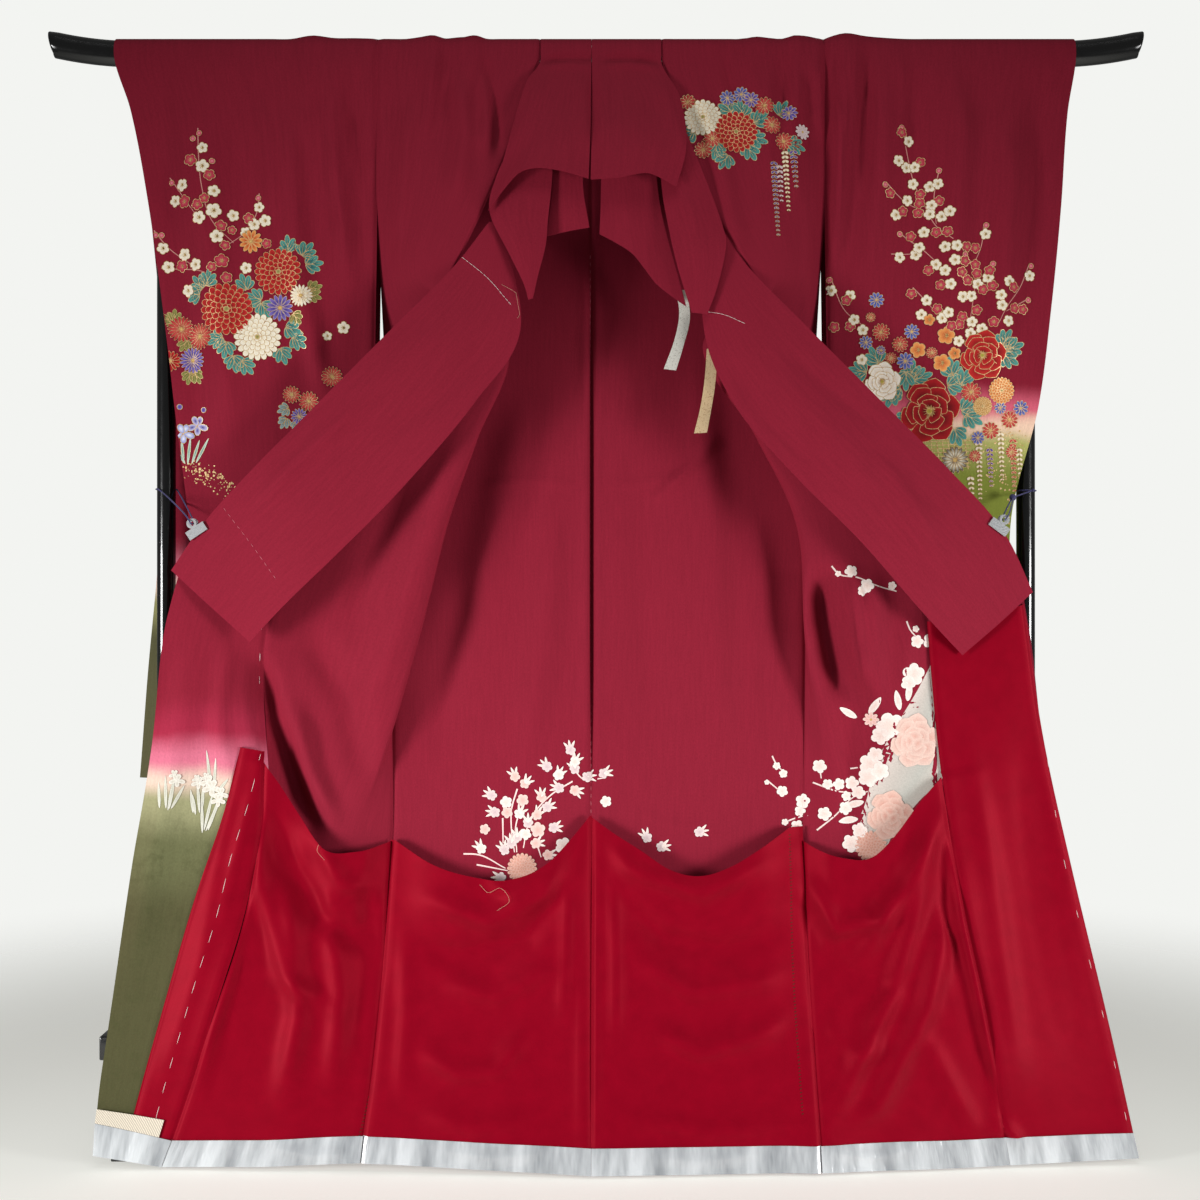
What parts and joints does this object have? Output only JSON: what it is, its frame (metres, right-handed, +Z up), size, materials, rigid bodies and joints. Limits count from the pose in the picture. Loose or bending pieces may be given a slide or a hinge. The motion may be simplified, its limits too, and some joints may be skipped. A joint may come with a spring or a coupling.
{
  "type": "furisode kimono on display stand",
  "caption": "Long-sleeved formal kimono opened out over the rail of a lacquered stand, red lining at the hem, collar ends held to the posts by clips.",
  "frame": {"origin": "on the floor, below the middle of the bounding box", "axes": "+Z up, -Y towards the side that the opened front faces, +X to the viewer's right along the rail"},
  "size_m": [1.5528, 0.2378, 1.5761],
  "materials": {
    "crepe": "matte crepe silk",
    "lining": "smooth plain-weave silk",
    "satin": "satin",
    "cotton": "matte cotton",
    "lacquer": "gloss black lacquer",
    "steel": "polished",
    "cord": "braided cord",
    "silver_ribbon": "woven ribbon",
    "gold_ribbon": "woven ribbon"
  },
  "bodies": {
    "root": {"back_left": "crepe", "back_right": "crepe", "front_left": "crepe", "front_right": "crepe", "okumi_left": "crepe", "okumi_right": "crepe", "sleeve_left_front": "crepe", "sleeve_left_back": "crepe", "sleeve_right_front": "crepe", "sleeve_right_back": "crepe", "collar_nape_left": "crepe", "collar_nape_right": "crepe", "collar_throat_left": "crepe", "collar_throat_right": "crepe", "collar_inner_left": "crepe", "collar_inner_right": "crepe", "collar_band_left": "crepe", "collar_band_right": "crepe", "lining_back_left": "lining", "lining_back_right": "lining", "lining_front_left": "lining", "lining_front_right": "lining", "lining_okumi_left": "lining", "lining_okumi_right": "lining", "tape_okumi_left": "satin", "tape_front_left": "satin", "tape_back_left": "satin", "tape_back_right": "satin", "tape_front_right": "satin", "tape_okumi_right": "satin", "tape_header_left": "cotton", "ribbon_silver": "silver_ribbon", "ribbon_gold": "gold_ribbon", "clip_left": "steel", "clip_right": "steel", "tie_left": "cord", "tie_right": "cord", "top_rail": "lacquer", "low_rail": "lacquer", "post_left": "lacquer", "foot_left": "lacquer", "post_right": "lacquer", "foot_right": "lacquer"}
  },
  "joints": []
}
